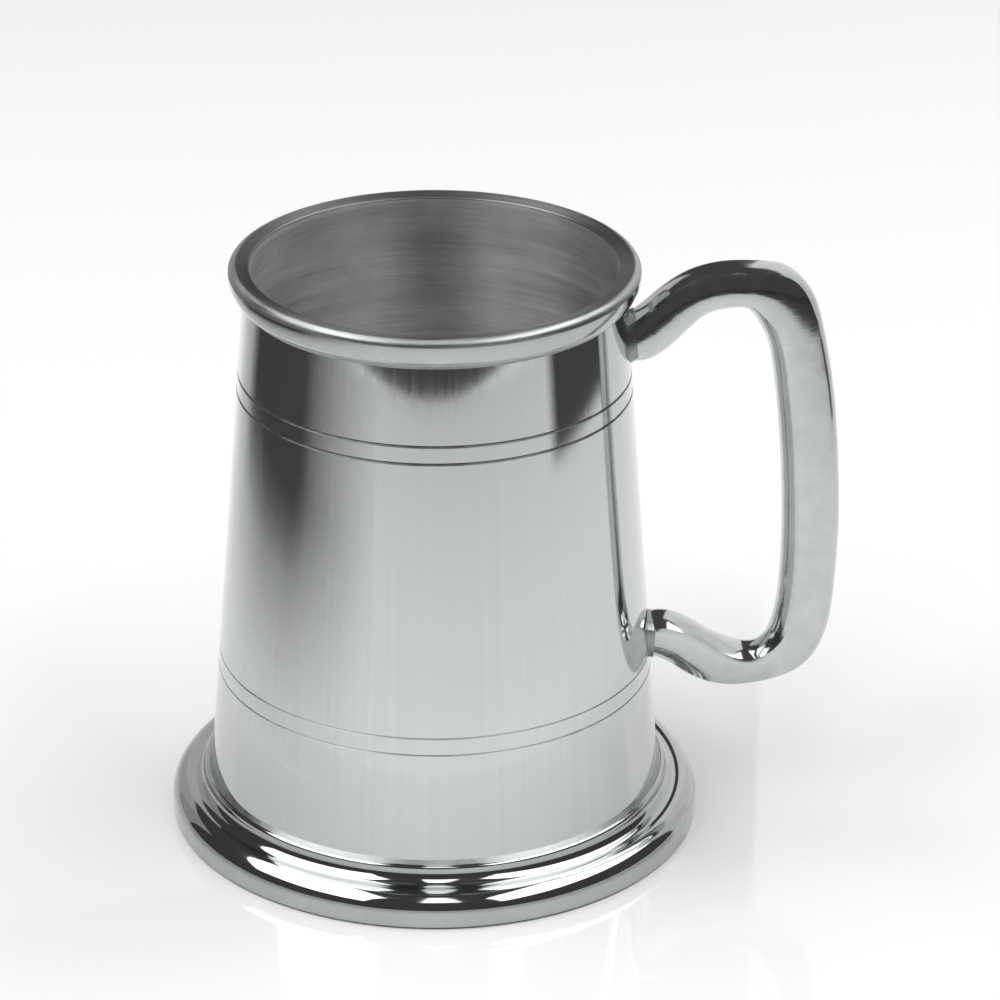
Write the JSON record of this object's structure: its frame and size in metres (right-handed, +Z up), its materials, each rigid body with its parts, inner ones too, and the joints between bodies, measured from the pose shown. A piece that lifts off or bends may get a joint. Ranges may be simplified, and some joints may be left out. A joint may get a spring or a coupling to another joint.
{
  "type": "pewter tankard",
  "caption": "Straight-tapered pewter drinking tankard with a rounded lip, turned lines, a spreading moulded foot and one squared-loop handle.",
  "frame": {"origin": "centre of the foot's resting circle, on the barrel's axis, at the resting plane", "axes": "+Z up along the barrel's axis; +X towards the handle"},
  "size_m": [0.136, 0.1086, 0.12],
  "materials": {
    "polished_pewter": "polished pewter, faint vertical polishing marks",
    "satin_pewter": "satin pewter, brushed round the axis",
    "cast_pewter": "polished cast pewter with shallow ripples",
    "solder": "dressed soft solder"
  },
  "bodies": {
    "root": {"barrel": "polished_pewter", "lip_ring": "satin_pewter", "lip_solder": "solder", "floor_disc": "satin_pewter", "floor_solder": "solder", "foot_moulding": "polished_pewter", "foot_solder": "solder", "handle": "cast_pewter", "upper_handle_solder": "solder", "lower_handle_solder": "solder"}
  },
  "joints": []
}
